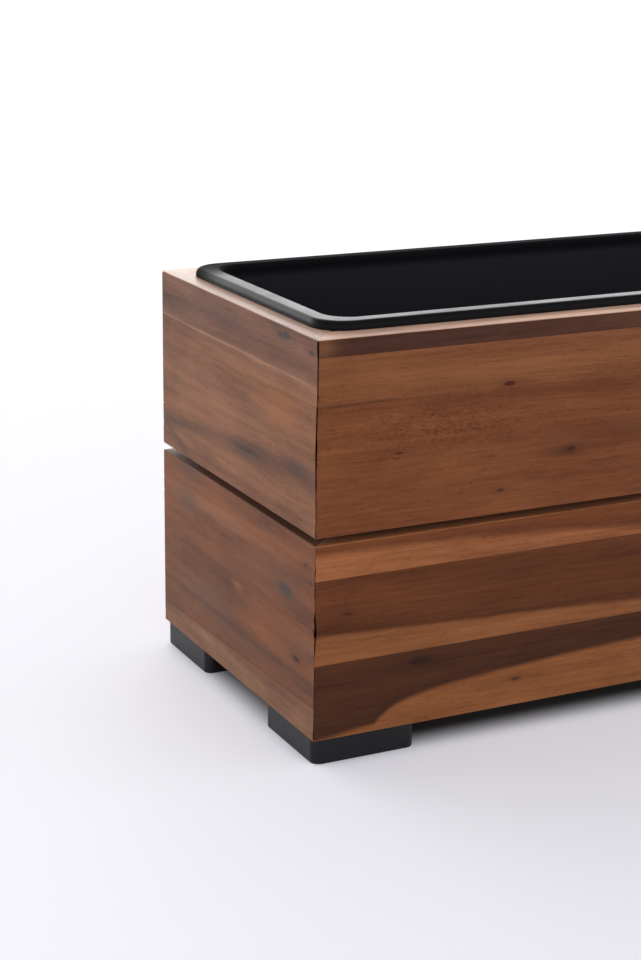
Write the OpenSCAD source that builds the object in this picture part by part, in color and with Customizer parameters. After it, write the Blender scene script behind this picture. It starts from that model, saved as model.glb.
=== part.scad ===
// Rectangular planter box: two tiers of mitred hardwood boards with an open
// shadow gap between them, standing on four moulded feet and holding a loose
// plastic liner that lifts straight out.
// Millimetres. +X runs along the length, +Y across and +Z up. The origin is on
// the ground, at the centre of the footprint.

/* [Boards] */
// Length of the box over its end boards
box_l = 700; // [560:1:1000]
// Width of the box over its long boards
box_w = 255; // [210:1:400]
// Thickness of the side boards
board_t = 20; // [16:0.5:30]
// Height of the boards of the lower tier
lower_h = 134.5; // [110:0.5:200]
// Height of the boards of the upper tier
upper_h = 129.5; // [105:0.5:200]
// Open gap between the two tiers
tier_gap = 5; // [2:0.5:15]

/* [Inner framing] */
// Width of the rails along the foot of the boards
rail_w = 20; // [16:0.5:26]
// Height of those rails
rail_h = 18; // [15:0.5:26]
// Width of the battens at the middle of the long sides
batten_w = 45; // [30:1:60]
// Distance from the top of the boards down to the ends of the blocks and battens
top_setback = 12; // [5:1:16]
// Thickness of the floor slats
slat_t = 10; // [8:0.5:15]
// Width of the floor slats
slat_w = 60; // [30:1:70]
// Number of floor slats on each side of the battens
slats_each_side = 3; // [2:1:3]
// Gap between the floor slats and what stands beside them
slat_clear = 1; // [0.5:0.5:3]

/* [Feet] */
// Height of the feet
foot_h = 17.5; // [12:0.5:30]
// Length of a foot along the box
foot_l = 76; // [60:1:90]
// Width of a foot across the box
foot_w = 76; // [60:1:90]
// Distance from the faces of the box in to the feet
foot_inset = 1; // [0.5:0.5:4]
// Radius of the corner of a foot at the corner of the box
foot_outer_r = 7; // [2:0.5:12]
// Radius of the other three corners
foot_inner_r = 6; // [2:0.5:16]
// Thickness of the foot under the heads of its screws
foot_web = 6; // [4:0.5:8]

/* [Liner] */
// Space between the long boards and the liner
liner_gap_y = 9; // [6:0.5:14]
// Space between the end boards and the liner
liner_gap_x = 5.5; // [5:0.5:14]
// Width of the rim's flat top
rim_w = 15; // [14:0.5:22]
// Height of the rim above the boards
rim_h = 6; // [4:0.5:12]
// Radius of the inside corners of the liner
liner_r = 18; // [8:0.5:20]
// Wall thickness of the liner
liner_t = 2; // [1.5:0.1:3]
// How far each wall leans in on its way down to the floor
liner_draft = 8; // [4:0.5:16]
// Gap between the liner's floor and the slats
liner_clear_z = 3; // [1:0.5:10]
// Diameter of the drain holes
drain_d = 8; // [5:0.5:14]
// Number of drain holes in each of the two rows
drains_per_row = 4; // [2:1:6]
// Distance between the two rows of drain holes
drain_row_gap = 90; // [40:1:110]

/* [Screws] */
// Diameter of the screws
screw_d = 4; // [3:0.5:5]
// Diameter of their countersunk heads
head_d = 7.6; // [6:0.2:9]
// Height of the heads
head_h = 2.4; // [1.5:0.1:3]
// How deep the screws go into a side board
board_bite = 13; // [8:0.5:14]
// How deep the screws go into a rail from above or below
rail_bite = 12; // [8:0.5:13]
// Gap all round a screw in its hole
screw_slack = 0.1; // [0.05:0.05:0.3]
// Distance of the side screws from the edges of a tier
screw_edge = 30; // [30:1:34]
// Step between a screw into a long board and the next one into an end board
screw_step = 14; // [10:1:16]
// Distance of the outer screws of a foot from its rounded ends
foot_screw_edge = 14.5; // [10:0.5:18]

/* [Fits] */
// Gap between the battens and the liner
batten_clear = 1; // [0.5:0.5:2]
// Gap between the corner blocks and the liner
block_clear = 3; // [1:0.5:4]

/* [Hidden] */
$fn = 64;
// Inside half sizes of the box
ix = box_l / 2 - board_t;
iy = box_w / 2 - board_t;
// Heights
lower_z = foot_h;
upper_z = lower_z + lower_h + tier_gap;
boards_top = upper_z + upper_h;
rail_top = foot_h + rail_h;
framing_top = boards_top - top_setback;
liner_z = rail_top + slat_t + liner_clear_z;
liner_top = boards_top + rim_h;
// Liner walls: outside half sizes and corner radius just under the rim
wall_x = ix - liner_gap_x;
wall_y = iy - liner_gap_y;
wall_r = liner_r + liner_t;
// Rim: how far it reaches out past the walls
rim_reach = rim_w - liner_t;
// Corner blocks: triangular, their long side just clear of the liner's corner
block_leg = liner_gap_x + liner_gap_y + 2 * wall_r - sqrt(2) * (wall_r + block_clear);
block_screw_in = block_leg / 3;
block_seat = block_leg * 0.42;
batten_t = liner_gap_y - batten_clear;
// Floor slats: spread between the batten and the corner blocks
slat_first = batten_w / 2 + 2 * slat_clear + slat_w / 2;
slat_last = ix - block_leg - 2 * slat_clear - slat_w / 2;
slat_pitch = (slat_last - slat_first) / (slats_each_side - 1);
slat_half = [for (i = [0 : slats_each_side - 1]) slat_first + i * slat_pitch];
slat_x = concat([for (i = [slats_each_side - 1 : -1 : 0]) -slat_half[i]], slat_half);
tip_h = screw_d;
LOWER = [lower_z, lower_h];
UPPER = [upper_z, upper_h];
WOOD = "#8f5f42";
INNER_WOOD = "#a98763";
PLASTIC = "#232326";
STEEL = "#b9bcc0";

// A block given by its lowest and highest corners.
module span(low, high) {
    translate(low) cube(high - low);
}

// What is left outside a rounded corner of radius r, at the origin.
module corner_waste(r) {
    difference() {
        translate([-1, -1]) square(r + 1);
        translate([r, r]) circle(r);
    }
}

// A rectangle of half sizes x and y with its four corners rounded.
module rounded_outline(x, y, r) {
    difference() {
        square([2 * x, 2 * y], center = true);
        for (i = [0, 1], j = [0, 1])
            mirror([i, 0]) mirror([0, j]) translate([-x, -y]) corner_waste(r);
    }
}

// Shows its children on both sides of the box, left and right.
module left_and_right() {
    for (i = [0, 1]) mirror([i, 0, 0]) children();
}

// Shows its children on both sides of the box, front and rear.
module front_and_rear() {
    for (i = [0, 1]) mirror([0, i, 0]) children();
}

// A countersunk screw, its head at the origin and its point along +Z.
module screw(length) {
    rotate_extrude()
        polygon([[0, 0], [head_d / 2, 0], [screw_d / 2, head_h],
                 [screw_d / 2, length - tip_h], [0, length]]);
}

// The hole for such a screw, open for the driver over the given access.
module screw_hole(length, access) {
    r = screw_d / 2 + screw_slack;
    head_r = head_d / 2 + screw_slack;
    rotate_extrude()
        polygon([[0, -access], [head_r, -access], [head_r, 0], [r, head_h],
                 [r, length + screw_slack], [0, length + screw_slack]]);
}

// A screw, or its hole where cut is true.
module fixing(length, cut, access = 1) {
    if (cut) screw_hole(length, access);
    else screw(length);
}

// Heights of the two side screws in a tier, moved in from its edges.
function tier_levels(tier, in) =
    [tier[0] + screw_edge + in, tier[0] + tier[1] - screw_edge - in];

// Screws from the corner blocks into the front board of a tier.
module long_block_screws(tier, cut) {
    for (side = [-1, 1], z = tier_levels(tier, 0))
        translate([side * (ix - block_screw_in), block_seat - iy, z])
            rotate([90, 0, 0]) fixing(block_seat + board_bite, cut, block_leg);
}

// Screws from the corner blocks into the left board of a tier.
module end_block_screws(tier, cut) {
    for (side = [-1, 1], z = tier_levels(tier, screw_step))
        translate([block_seat - ix, side * (iy - block_screw_in), z])
            rotate([0, -90, 0]) fixing(block_seat + board_bite, cut, block_leg);
}

// Screws from the front batten into the front board of a tier.
module front_batten_screws(tier, cut) {
    for (z = tier_levels(tier, 0))
        translate([0, batten_t - iy, z])
            rotate([90, 0, 0]) fixing(batten_t + board_bite, cut);
}

// Screws from the front rail into the front board, midway between the slats.
module long_rail_screws(cut) {
    for (side = [-1, 1], i = [0 : slats_each_side - 2])
        translate([side * (slat_half[i] + slat_pitch / 2), rail_w - iy, foot_h + rail_h / 2])
            rotate([90, 0, 0]) fixing(rail_w + board_bite, cut);
}

// Screws from the left rail into the left board.
module end_rail_screws(cut) {
    for (side = [-1, 1])
        translate([rail_w - ix, side * (iy - rail_w) / 3, foot_h + rail_h / 2])
            rotate([0, -90, 0]) fixing(rail_w + board_bite, cut);
}

// The two screws that hold one slat down on the rails.
module screws_of_slat(x, cut) {
    for (side = [-1, 1])
        translate([x, side * (iy - rail_w / 2), rail_top + slat_t])
            rotate([180, 0, 0]) fixing(slat_t + rail_bite, cut);
}

// The three screws that hold the front left foot to the rails.
module screws_of_foot(cut) {
    near = board_t + rail_w / 2;
    far_x = foot_inset + foot_l - foot_screw_edge;
    far_y = foot_inset + foot_w - foot_screw_edge;
    for (p = [[near, near], [far_x, near], [near, far_y]])
        translate([p[0] - box_l / 2, p[1] - box_w / 2, foot_h - foot_web])
            fixing(foot_web + rail_bite, cut, foot_h);
}

// The front board of a tier, mitred at both ends.
module front_board(tier) {
    x = box_l / 2;
    y = box_w / 2;
    color(WOOD) difference() {
        translate([0, 0, tier[0]]) linear_extrude(tier[1])
            polygon([[-x, -y], [x, -y], [ix, -iy], [-ix, -iy]]);
        long_block_screws(tier, true);
        front_batten_screws(tier, true);
        if (tier == LOWER) long_rail_screws(true);
    }
}

// The left board of a tier, mitred at both ends.
module left_board(tier) {
    x = box_l / 2;
    y = box_w / 2;
    color(WOOD) difference() {
        translate([0, 0, tier[0]]) linear_extrude(tier[1])
            polygon([[-x, -y], [-ix, -iy], [-ix, iy], [-x, y]]);
        end_block_screws(tier, true);
        if (tier == LOWER) end_rail_screws(true);
    }
}

// The triangular block behind the front left mitres, which ties both tiers.
module corner_block() {
    color(INNER_WOOD) difference() {
        translate([-ix, -iy, rail_top]) linear_extrude(framing_top - rail_top)
            polygon([[0, 0], [block_leg, 0], [0, block_leg]]);
        for (tier = [LOWER, UPPER]) {
            long_block_screws(tier, true);
            end_block_screws(tier, true);
        }
    }
}

// The upright batten behind the middle of the front boards.
module front_batten() {
    color(INNER_WOOD) difference() {
        span([-batten_w / 2, -iy, rail_top], [batten_w / 2, batten_t - iy, framing_top]);
        for (tier = [LOWER, UPPER]) front_batten_screws(tier, true);
    }
}

// The rail along the foot of the front board, which carries slats and feet.
module front_rail() {
    color(INNER_WOOD) difference() {
        span([-ix, -iy, foot_h], [ix, rail_w - iy, rail_top]);
        long_rail_screws(true);
        left_and_right() screws_of_foot(true);
        for (x = slat_x) screws_of_slat(x, true);
    }
}

// The rail along the foot of the left board, between the long rails.
module left_rail() {
    color(INNER_WOOD) difference() {
        span([-ix, rail_w - iy, foot_h], [rail_w - ix, iy - rail_w, rail_top]);
        end_rail_screws(true);
        front_and_rear() screws_of_foot(true);
    }
}

// One slat of the floor, lying across the long rails.
module floor_slat(x) {
    color(INNER_WOOD) difference() {
        span([x - slat_w / 2, slat_clear - iy, rail_top],
             [x + slat_w / 2, iy - slat_clear, rail_top + slat_t]);
        screws_of_slat(x, true);
    }
}

// The front left foot.
module foot() {
    color(PLASTIC) difference() {
        translate([foot_inset - box_l / 2, foot_inset - box_w / 2]) linear_extrude(foot_h)
            difference() {
                square([foot_l, foot_w]);
                corner_waste(foot_outer_r);
                translate([foot_l, 0]) mirror([1, 0]) corner_waste(foot_inner_r);
                translate([0, foot_w]) mirror([0, 1]) corner_waste(foot_inner_r);
                translate([foot_l, foot_w]) rotate(180) corner_waste(foot_inner_r);
            }
        screws_of_foot(true);
    }
}

// The leaning body of the liner, made smaller all round by inset.
module liner_body(inset, low, high) {
    r = wall_r - inset;
    lean = liner_draft;
    hull() {
        translate([0, 0, low]) linear_extrude(0.01)
            rounded_outline(wall_x - lean - inset, wall_y - lean - inset, r, $fn = 32);
        translate([0, 0, high - 0.01]) linear_extrude(0.01)
            rounded_outline(wall_x - inset, wall_y - inset, r, $fn = 32);
    }
}

// The liner: leaning walls, a floor with drain holes and a turned-down rim.
module liner() {
    color(PLASTIC) difference() {
        union() {
            liner_body(0, liner_z, liner_top - liner_t / 2);
            translate([0, 0, boards_top]) linear_extrude(rim_h)
                rounded_outline(wall_x + rim_reach, wall_y + rim_reach, wall_r + rim_reach / 8);
        }
        liner_body(liner_t, liner_z + liner_t, liner_top + 1);
        // Hollow under the rim, between its lip and the wall
        translate([0, 0, boards_top - 1]) linear_extrude(rim_h + 1 - liner_t)
            difference() {
                rounded_outline(wall_x + rim_reach - liner_t, wall_y + rim_reach - liner_t,
                                wall_r + rim_reach / 8 - liner_t);
                rounded_outline(wall_x, wall_y, wall_r);
            }
        drain_holes();
    }
}

// Two rows of drain holes through the liner's floor.
module drain_holes() {
    step = 2 * (wall_x - liner_draft) / drains_per_row;
    for (side = [-1, 1], i = [0 : drains_per_row - 1])
        translate([(i + 0.5) * step - wall_x + liner_draft, side * drain_row_gap / 2, liner_z - 1])
            cylinder(h = liner_t + 2, d = drain_d);
}

module board_front_lower() { front_board(LOWER); }
module board_rear_lower() { mirror([0, 1, 0]) front_board(LOWER); }
module board_left_lower() { left_board(LOWER); }
module board_right_lower() { mirror([1, 0, 0]) left_board(LOWER); }
module board_front_upper() { front_board(UPPER); }
module board_rear_upper() { mirror([0, 1, 0]) front_board(UPPER); }
module board_left_upper() { left_board(UPPER); }
module board_right_upper() { mirror([1, 0, 0]) left_board(UPPER); }
module corner_block_front_left() { corner_block(); }
module corner_block_front_right() { mirror([1, 0, 0]) corner_block(); }
module corner_block_rear_left() { mirror([0, 1, 0]) corner_block(); }
module corner_block_rear_right() { mirror([1, 0, 0]) mirror([0, 1, 0]) corner_block(); }
module batten_front() { front_batten(); }
module batten_rear() { mirror([0, 1, 0]) front_batten(); }
module rail_front() { front_rail(); }
module rail_rear() { mirror([0, 1, 0]) front_rail(); }
module rail_left() { left_rail(); }
module rail_right() { mirror([1, 0, 0]) left_rail(); }
module foot_front_left() { foot(); }
module foot_front_right() { mirror([1, 0, 0]) foot(); }
module foot_rear_left() { mirror([0, 1, 0]) foot(); }
module foot_rear_right() { mirror([1, 0, 0]) mirror([0, 1, 0]) foot(); }

module block_screws() {
    color(STEEL) for (tier = [LOWER, UPPER]) {
        front_and_rear() long_block_screws(tier, false);
        left_and_right() end_block_screws(tier, false);
    }
}

module batten_screws() {
    color(STEEL) for (tier = [LOWER, UPPER])
        front_and_rear() front_batten_screws(tier, false);
}

module rail_screws() {
    color(STEEL) {
        front_and_rear() long_rail_screws(false);
        left_and_right() end_rail_screws(false);
    }
}

module slat_screws() {
    color(STEEL) for (x = slat_x) screws_of_slat(x, false);
}

module foot_screws() {
    color(STEEL) left_and_right() front_and_rear() screws_of_foot(false);
}

board_front_lower();
board_rear_lower();
board_left_lower();
board_right_lower();
board_front_upper();
board_rear_upper();
board_left_upper();
board_right_upper();
corner_block_front_left();
corner_block_front_right();
corner_block_rear_left();
corner_block_rear_right();
batten_front();
batten_rear();
rail_front();
rail_rear();
rail_left();
rail_right();
foot_front_left();
foot_front_right();
foot_rear_left();
foot_rear_right();
block_screws();
batten_screws();
rail_screws();
slat_screws();
foot_screws();
liner();
for (i = [1 : len(slat_x)])
    floor_slat(slat_x[i - 1]);
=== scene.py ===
"""Looks of a planter box: laminated boards, plastic liner and feet, inner framing and screws.

Everything is in metres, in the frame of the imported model: +X along the box, +Y across it and +Z
up, with the origin on the ground at the centre of the footprint. Sizes of the timber's figure are
in millimetres, as a joiner would write them.
"""
import logging
import math
from dataclasses import dataclass, field, replace
from enum import Enum
from typing import Callable, Iterable, Sequence, Union

import bmesh
import bpy
from mathutils import Matrix, Vector, noise


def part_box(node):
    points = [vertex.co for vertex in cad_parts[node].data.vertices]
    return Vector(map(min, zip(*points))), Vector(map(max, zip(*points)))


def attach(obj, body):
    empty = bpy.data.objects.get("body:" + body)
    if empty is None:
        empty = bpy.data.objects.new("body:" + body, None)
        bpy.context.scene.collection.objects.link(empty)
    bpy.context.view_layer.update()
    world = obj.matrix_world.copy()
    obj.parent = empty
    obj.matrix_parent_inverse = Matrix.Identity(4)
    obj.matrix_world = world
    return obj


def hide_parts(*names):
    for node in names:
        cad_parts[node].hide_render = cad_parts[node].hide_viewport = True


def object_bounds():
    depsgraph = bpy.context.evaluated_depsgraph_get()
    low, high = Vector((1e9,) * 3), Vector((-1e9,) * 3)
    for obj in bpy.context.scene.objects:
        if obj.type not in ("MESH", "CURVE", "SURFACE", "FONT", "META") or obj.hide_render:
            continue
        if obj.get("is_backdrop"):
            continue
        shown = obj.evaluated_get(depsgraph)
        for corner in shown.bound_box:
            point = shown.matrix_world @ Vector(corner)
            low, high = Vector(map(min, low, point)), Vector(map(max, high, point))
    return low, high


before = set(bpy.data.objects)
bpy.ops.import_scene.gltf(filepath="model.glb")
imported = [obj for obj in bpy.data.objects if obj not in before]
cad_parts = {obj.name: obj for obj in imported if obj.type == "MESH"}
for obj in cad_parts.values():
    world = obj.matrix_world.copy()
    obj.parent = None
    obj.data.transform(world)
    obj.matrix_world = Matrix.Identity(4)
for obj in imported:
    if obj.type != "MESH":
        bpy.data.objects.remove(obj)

LOG = logging.getLogger("planter")
MM = 0.001
TINY = 1e-5
BOX = "box"
LINER = "liner"


def unit(axis: int) -> Vector:
    """Returns the unit vector of an axis."""
    return Vector([float(i == axis) for i in range(3)])


def linear(hex_colour: str) -> tuple[float, float, float, float]:
    """Turns a colour written as six hex digits into the linear values that shaders use.

    Args:
        hex_colour: Red, green and blue, two hex digits each.

    Returns:
        Linear red, green and blue, and full alpha.
    """
    parts = [int(hex_colour[i:i + 2], 16) / 255 for i in (0, 2, 4)]
    curve = [p / 12.92 if p <= 0.04045 else ((p + 0.055) / 1.055) ** 2.4 for p in parts]
    return (*curve, 1.0)


# ---------------------------------------------------------------------------------------------
# Shader maths
# ---------------------------------------------------------------------------------------------

Value = Union["Flow", float, tuple]


class Flow:
    """A number that flows out of a shader node and can stand in a Python expression."""

    def __init__(self, finish: "Bench", socket: bpy.types.NodeSocket) -> None:
        """Wraps the output socket of a node in finish's tree."""
        self.finish = finish
        self.socket = socket

    def math(self, operation: str, *others: Value, clamp: bool = False) -> "Flow":
        """Adds a Math node whose first input is this number.

        Args:
            operation: The Math node's operation.
            others: Its second and third inputs.
            clamp: Whether the result is kept between 0 and 1.

        Returns:
            The result.
        """
        return self.finish.math(operation, self, *others, clamp=clamp)

    def __add__(self, other: Value) -> "Flow":
        """Returns this number plus other."""
        return self.math("ADD", other)

    def __radd__(self, other: Value) -> "Flow":
        """Returns other plus this number."""
        return self.finish.math("ADD", other, self)

    def __sub__(self, other: Value) -> "Flow":
        """Returns this number less other."""
        return self.math("SUBTRACT", other)

    def __rsub__(self, other: Value) -> "Flow":
        """Returns other less this number."""
        return self.finish.math("SUBTRACT", other, self)

    def __mul__(self, other: Value) -> "Flow":
        """Returns this number times other."""
        return self.math("MULTIPLY", other)

    def __rmul__(self, other: Value) -> "Flow":
        """Returns other times this number."""
        return self.finish.math("MULTIPLY", other, self)

    def __truediv__(self, other: Value) -> "Flow":
        """Returns this number divided by other."""
        return self.math("DIVIDE", other)

    def fading(self) -> "Flow":
        """Returns e to the power of minus this number: 1 at 0, and less as it grows."""
        return (self * -1.0).math("EXPONENT")

    def at_least(self, least: float) -> "Flow":
        """Returns this number, or least where that is more."""
        return self.math("MAXIMUM", least)

    def clamped(self) -> "Flow":
        """Returns this number kept between 0 and 1."""
        return self.math("ADD", 0.0, clamp=True)

    def ramp(self, low: float, high: float) -> "Flow":
        """Makes a smooth step.

        Args:
            low: Where it is 0 and starts to rise.
            high: Where it reaches 1.

        Returns:
            The step.
        """
        node = self.finish.node("ShaderNodeMapRange", {"interpolation_type": "SMOOTHSTEP"},
                                {"Value": self, "From Min": low, "From Max": high})
        return Flow(self.finish, node.outputs["Result"])


class Bench:
    """A node tree with the few tools that shader maths needs."""

    def __init__(self, tree: bpy.types.NodeTree, shader: str) -> None:
        """Takes up a node tree and the shader in it that everything feeds."""
        self.tree = tree
        self.shader = tree.nodes[shader]

    def node(self, kind: str, settings: dict | None = None,
             sockets: dict | None = None) -> bpy.types.ShaderNode:
        """Adds one node.

        Args:
            kind: The node's type.
            settings: Its properties, set first.
            sockets: Input name or number to the value or Flow that it gets.

        Returns:
            The node.
        """
        node = self.tree.nodes.new(kind)
        for key, value in (settings or {}).items():
            setattr(node, key, value)
        for key, value in (sockets or {}).items():
            self._feed(node.inputs[key], value)
        return node

    def _feed(self, socket: bpy.types.NodeSocket, value: Value) -> None:
        """Feeds a socket.

        Args:
            socket: The socket.
            value: A Flow, which is linked to it, or a plain value, which is set on it.
        """
        if isinstance(value, Flow):
            self.tree.links.new(value.socket, socket)
        else:
            socket.default_value = value

    def set(self, socket: str, value: Value) -> None:
        """Feeds one input of the shader."""
        self._feed(self.shader.inputs[socket], value)

    def math(self, operation: str, *values: Value, clamp: bool = False) -> Flow:
        """Adds a Math node.

        Args:
            operation: Its operation.
            values: Its inputs.
            clamp: Whether the result is kept between 0 and 1.

        Returns:
            The result.
        """
        node = self.node("ShaderNodeMath", {"operation": operation, "use_clamp": clamp},
                         dict(enumerate(values)))
        return Flow(self, node.outputs[0])

    def blend(self, below: Value, above: Value, amount: Value) -> Flow:
        """Returns the colour below with amount of the colour above over it."""
        node = self.node("ShaderNodeMix", {"data_type": "RGBA"}, {0: amount, 6: below, 7: above})
        return Flow(self, node.outputs[2])

    def darken(self, colour: Value, factor: Value) -> Flow:
        """Returns the colour with each channel times factor."""
        return self._vector_math("SCALE", colour, {"Scale": factor})

    def tint(self, colour: Value, factors: Flow) -> Flow:
        """Returns the colour with each channel times its own factor."""
        return self._vector_math("MULTIPLY", colour, {1: factors})

    def _vector_math(self, operation: str, colour: Value, other: dict) -> Flow:
        """Adds a Vector Math node that works on a colour.

        Args:
            operation: Its operation.
            colour: Its first input.
            other: Its other input, as the node method takes it.

        Returns:
            The result.
        """
        start = colour if isinstance(colour, Flow) else colour[:3]
        node = self.node("ShaderNodeVectorMath", {"operation": operation}, {0: start, **other})
        return Flow(self, node.outputs[0])

    def coordinates(self, kind: str, scale: float) -> tuple[Flow, Flow, Flow]:
        """Splits up and scales one of the Texture Coordinate node's vectors.

        Args:
            kind: The name of the node's output.
            scale: What each coordinate is multiplied by.

        Returns:
            The three coordinates.
        """
        where = self.node("ShaderNodeTexCoord").outputs[kind]
        split = self.node("ShaderNodeSeparateXYZ", None, {0: Flow(self, where)})
        return tuple(Flow(self, out) * scale for out in split.outputs)

    def point(self, x: Value, y: Value, z: Value) -> Flow:
        """Returns three numbers joined into one vector."""
        return Flow(self, self.node("ShaderNodeCombineXYZ", None, {0: x, 1: y, 2: z}).outputs[0])


@dataclass(frozen=True)
class Weave:
    """Smooth noise with its own size, in millimetres, along each of three directions."""

    sizes: tuple[float, float, float]
    detail: float = 2.0
    roughness: float = 0.5

    @classmethod
    def even(cls, size: float, detail: float = 2.0, roughness: float = 0.5) -> "Weave":
        """Returns noise of the same size in every direction."""
        return cls((size, size, size), detail, roughness)

    def over(self, bench: Bench, where: Sequence[Flow],
             shifts: Sequence[Value] = (0.0, 0.0, 0.0)) -> Flow:
        """Works the noise into a node tree.

        Args:
            bench: The node tree.
            where: The three coordinates of a place.
            shifts: What is added to each of them after it is divided by its size.

        Returns:
            The noise at that place, about 0 and from roughly -0.5 to 0.5.
        """
        scaled = [axis / size + shift for axis, size, shift in zip(where, self.sizes, shifts)]
        node = bench.node("ShaderNodeTexNoise", None, {
            "Vector": bench.point(*scaled), "Scale": 1.0, "Detail": self.detail,
            "Roughness": self.roughness})
        return Flow(bench, node.outputs["Fac"]) - 0.5


def beyond(x: Flow, y: Flow, half_x: Value, half_y: Value) -> Flow:
    """Measures how far a place is outside a rectangle about the origin.

    Args:
        x: The place's first coordinate.
        y: Its second coordinate.
        half_x: Half of the rectangle's size along the first one.
        half_y: Half of its size along the second one.

    Returns:
        The distance to the rectangle, and 0 inside it.
    """
    past_x = (x.math("ABSOLUTE") - half_x).at_least(0.0)
    past_y = (y.math("ABSOLUTE") - half_y).at_least(0.0)
    return (past_x * past_x + past_y * past_y).math("SQRT")


class Finish(Bench):
    """A node-based material on one Principled shader."""

    def __init__(self, name: str, **constants: Value) -> None:
        """Makes the material.

        Args:
            name: The material's name.
            constants: Values for the Principled shader, with underscores for spaces.
        """
        self.material = bpy.data.materials.new(name)
        self.material.use_nodes = True
        super().__init__(self.material.node_tree, "Principled BSDF")
        for key, value in constants.items():
            self.set(key.replace("_", " ").title().replace("Ior", "IOR"), value)

    def position(self) -> tuple[Flow, Flow, Flow]:
        """Returns the piece's own coordinates, in millimetres."""
        return self.coordinates("Object", 1.0 / MM)

    def bump(self, height: Flow, distance: float, strength: float = 1.0) -> None:
        """Feeds the shader's Normal from a height given in units of distance."""
        node = self.node("ShaderNodeBump", None,
                         {"Height": height, "Distance": distance, "Strength": strength})
        self.set("Normal", Flow(self, node.outputs[0]))


# ---------------------------------------------------------------------------------------------
# Timber
# ---------------------------------------------------------------------------------------------


class Grain(Enum):
    """Which way the grain of a piece of wood runs."""

    LENGTH = 0
    WIDTH = 1
    UPRIGHT = 2

    @property
    def axis(self) -> Vector:
        """The grain's direction."""
        return unit(self.value)

    def ordered(self, where: tuple[Flow, Flow, Flow]) -> tuple[Flow, Flow, Flow]:
        """Returns coordinates as along the grain, then the other two."""
        return where[self.value], where[(self.value + 1) % 3], where[(self.value + 2) % 3]


@dataclass(frozen=True)
class HeartLine:
    """The edge between pale sapwood and dark heartwood along a stave, in millimetres.

    Its height is level + slope g + curve g^2 + rise (1 - exp(-(g - start) / run)), where g is the
    distance along the board.
    """

    level: float
    slope: float = 0.0
    curve: float = 0.0
    rise: float = 0.0
    start: float = 0.0
    run: float = 50.0
    soft: float = 1.2

    def mask(self, g: Flow, z: Flow) -> tuple[Flow, Flow]:
        """Works the line into a material.

        Args:
            g: Distance along the board.
            z: Height on the board.

        Returns:
            How far the place is heartwood, from 0 to 1, and how near it is to the line.
        """
        height = self.level + self.slope * g + self.curve * (g * g)
        if self.rise:
            past = (g - self.start).at_least(0.0)
            height = height + self.rise * (1.0 - (past / self.run).fading())
        over = z - height
        near = (over * over / (7.0 * self.soft ** 2 + 14.0)).fading()
        return over.ramp(-self.soft, self.soft), near


@dataclass(frozen=True)
class Stave:
    """One strip of timber in a laminated board."""

    bottom: float
    light: str
    dark: str = ""
    heart: HeartLine | None = None


@dataclass(frozen=True)
class Mark:
    """A soft band or stain on a board: where it is, how long and high, and how strong."""

    g: float
    z: float
    length: float
    height: float
    tilt: float = 0.0
    strength: float = 0.5
    colour: str = "3a2018"

    def mask(self, g: Flow, z: Flow) -> Flow:
        """Works the mark into a material.

        Args:
            g: Distance along the board.
            z: Height on the board.

        Returns:
            How strong the mark is at that place.
        """
        aside = g - self.g
        along = aside / self.length
        up = (z - self.z - aside * self.tilt) / self.height
        return (along * along + up * up).fading() * self.strength


@dataclass(frozen=True)
class Knot:
    """A small knot: dark, with the grain flowing round it."""

    g: float
    z: float
    size: float
    strength: float = 0.8
    colour: str = "2a1510"

    def bulge(self, g: Flow, z: Flow) -> Flow:
        """Works out how far the knot pushes the grain aside.

        Args:
            g: Distance along the board.
            z: Height on the board.

        Returns:
            The way that the grain moves, upwards.
        """
        along = (g - self.g) / (self.size * 2.6)
        up = (z - self.z) / (self.size * 1.3)
        return (along * along + up * up).fading() * up * (-self.size * 0.8)

    def paint(self, made: Finish, colour: Flow, g: Flow, z: Flow, fray: Flow) -> Flow:
        """Paints the knot.

        Args:
            made: The material.
            colour: The colour round the knot.
            g: Distance along the board.
            z: Height on the board, with its waves.
            fray: The noise that roughens the knot's edge.

        Returns:
            The colour with the knot in it.
        """
        along = (g - self.g) / (self.size * 1.7)
        up = (z - self.z) / (self.size * 0.62)
        far = (along * along + up * up + fray).at_least(0.0).math("SQRT")
        ring = (1.0 - far.ramp(0.55, 1.25)) * self.strength
        halo = (far * far / 5.0).fading() * self.strength * 0.35
        colour = made.blend(colour, linear(self.colour), halo)
        return made.blend(colour, linear(self.colour), ring)


@dataclass(frozen=True)
class Figure:
    """The staves, marks, knots and curly patches of one board, and its top face's colour, which is
    painted light.
    """

    staves: tuple[Stave, ...]
    marks: tuple[Mark, ...] = ()
    knots: tuple[Knot, ...] = ()
    curls: tuple[Mark, ...] = ()
    contrast: float = 1.0
    # Painted light: the top face's colour, set lighter or darker than the wood for how the light
    # falls on it.
    top_face_painted_light: str = "b0653a"
    seed: float = 0.0


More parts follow.
